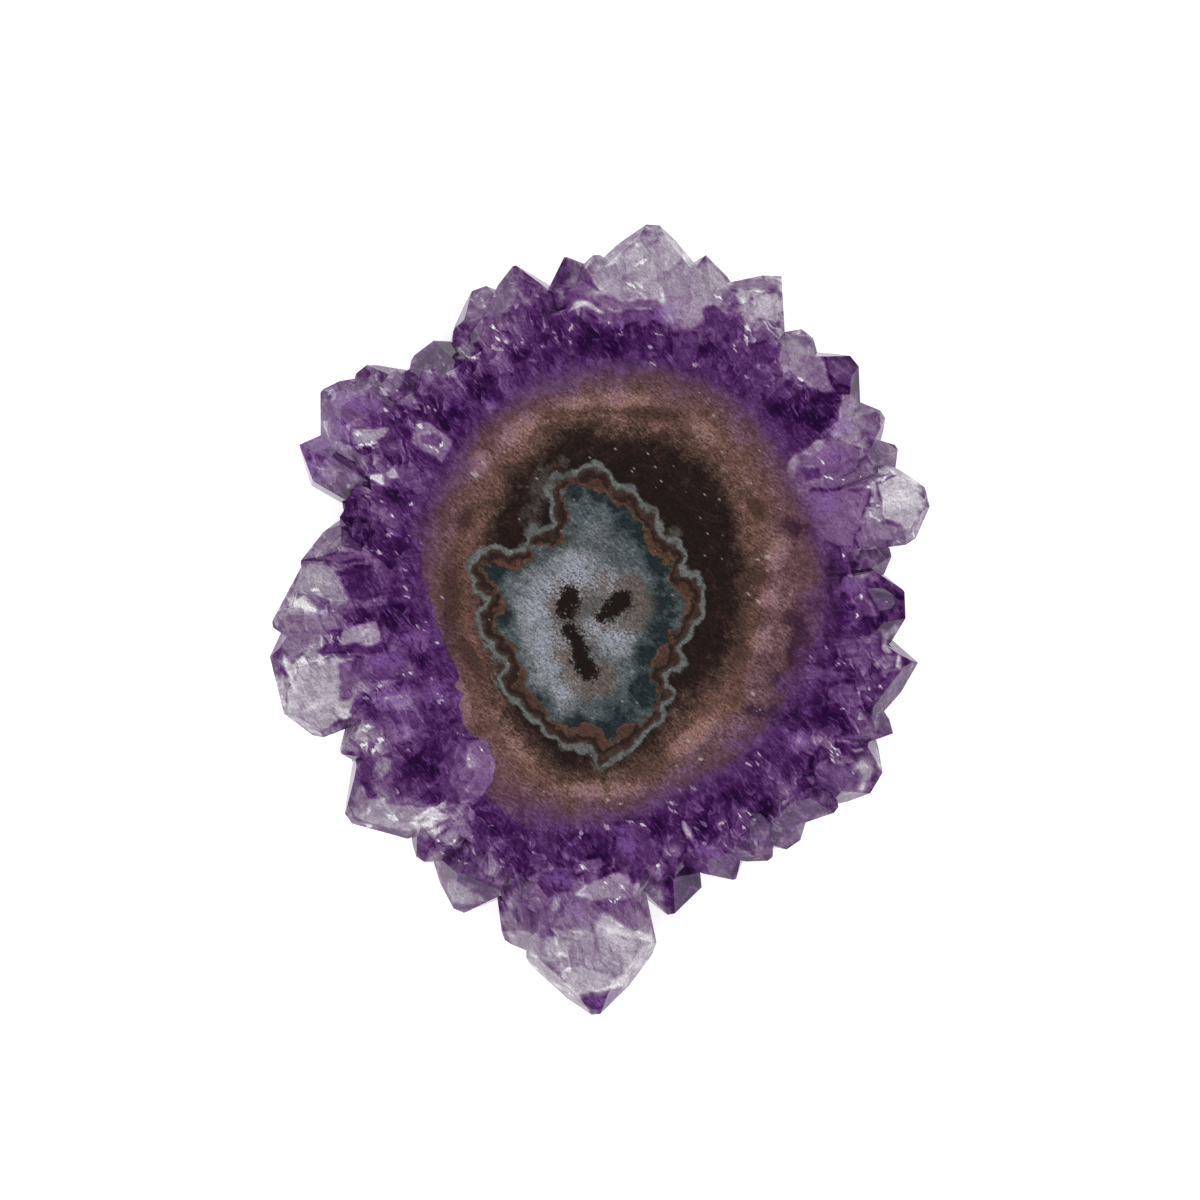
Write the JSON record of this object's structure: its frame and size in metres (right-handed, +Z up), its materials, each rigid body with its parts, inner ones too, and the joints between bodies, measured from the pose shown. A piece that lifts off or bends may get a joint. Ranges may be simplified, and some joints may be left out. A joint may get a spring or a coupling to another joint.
{
  "type": "amethyst stalactite slice",
  "caption": "Slice sawn across a quartz stalactite: a flat slab with a banded agate core, ringed by a crust of amethyst crystals whose tips make the jagged rim.",
  "frame": {"origin": "in the lower saw cut, at the middle of the slice's length and width", "axes": "+Z up out of the upper saw cut, +Y along the slice's length towards the blunt broad crystal opposite the largest pointed one, +X to the right seen from above"},
  "size_m": [0.0526, 0.063, 0.007],
  "materials": {
    "agate": "sawn flat and polished, opaque, dark brown with blue-grey bands",
    "amethyst": "clear to cloudy violet quartz, polished on the cuts, natural crystal faces on the rim"
  },
  "bodies": {
    "root": {"agate_core": "agate", "amethyst_crust": "amethyst"}
  },
  "joints": []
}
